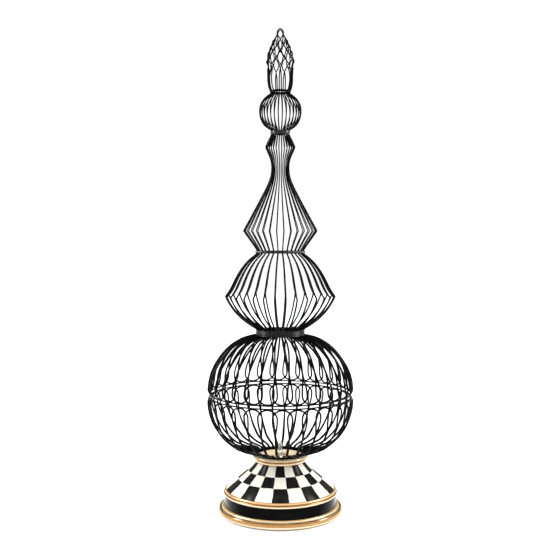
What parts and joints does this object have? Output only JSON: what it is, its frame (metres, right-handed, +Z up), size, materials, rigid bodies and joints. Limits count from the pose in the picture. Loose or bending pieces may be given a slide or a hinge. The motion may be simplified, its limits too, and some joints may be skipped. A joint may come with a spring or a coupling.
{
  "type": "garden obelisk",
  "caption": "Tall wire garden obelisk: a turned, checked enamel base carries a wire globe, a double-cone cage, a waisted neck, a small ball and a bullet-shaped finial.",
  "frame": {"origin": "centre of the foot's underside", "axes": "+Z up along the obelisk's axis, -Y towards the front"},
  "size_m": [0.2744, 0.2744, 0.9138],
  "materials": {
    "black_wire": "gloss black enamel on drawn steel wire",
    "black_enamel": "gloss black enamel on spun steel, hand brushed",
    "check_enamel": "gloss enamel on spun steel, hand-painted black and cream checks",
    "gold_enamel": "gloss honey-gold enamel on spun steel, brushed in bands",
    "zinc_steel": "zinc-plated steel fastener"
  },
  "bodies": {
    "lower_part": {"foot_moulding": "gold_enamel", "drum_band": "black_enamel", "middle_bead": "gold_enamel", "check_cone": "check_enamel", "neck_moulding": "gold_enamel", "cage_plate": "gold_enamel", "threaded_stud": "zinc_steel", "top_washer": "zinc_steel", "top_nut": "zinc_steel", "under_washer": "zinc_steel", "under_nut": "zinc_steel", "neck_hoop": "black_wire", "lower_globe_cage": "black_wire", "rest_stud_front_right": "black_wire", "rest_stud_back_right": "black_wire", "rest_stud_back_left": "black_wire", "rest_stud_front_left": "black_wire"},
    "upper_part": {"upper_globe_cage": "black_wire", "globe_collar": "black_wire", "double_cone_cage": "black_wire", "shoulder_binding": "black_wire", "neck_cage": "black_wire", "ball_collar": "black_wire", "ball_cage": "black_wire", "finial_ring": "black_wire", "finial_cage": "black_wire", "tip_hairpin": "black_wire"}
  },
  "joints": [
    {"name": "top_lift", "type": "slide", "parent": "lower_part", "child": "upper_part", "axis": [0, 0, 1], "range_m": [0, 0.15]}
  ]
}
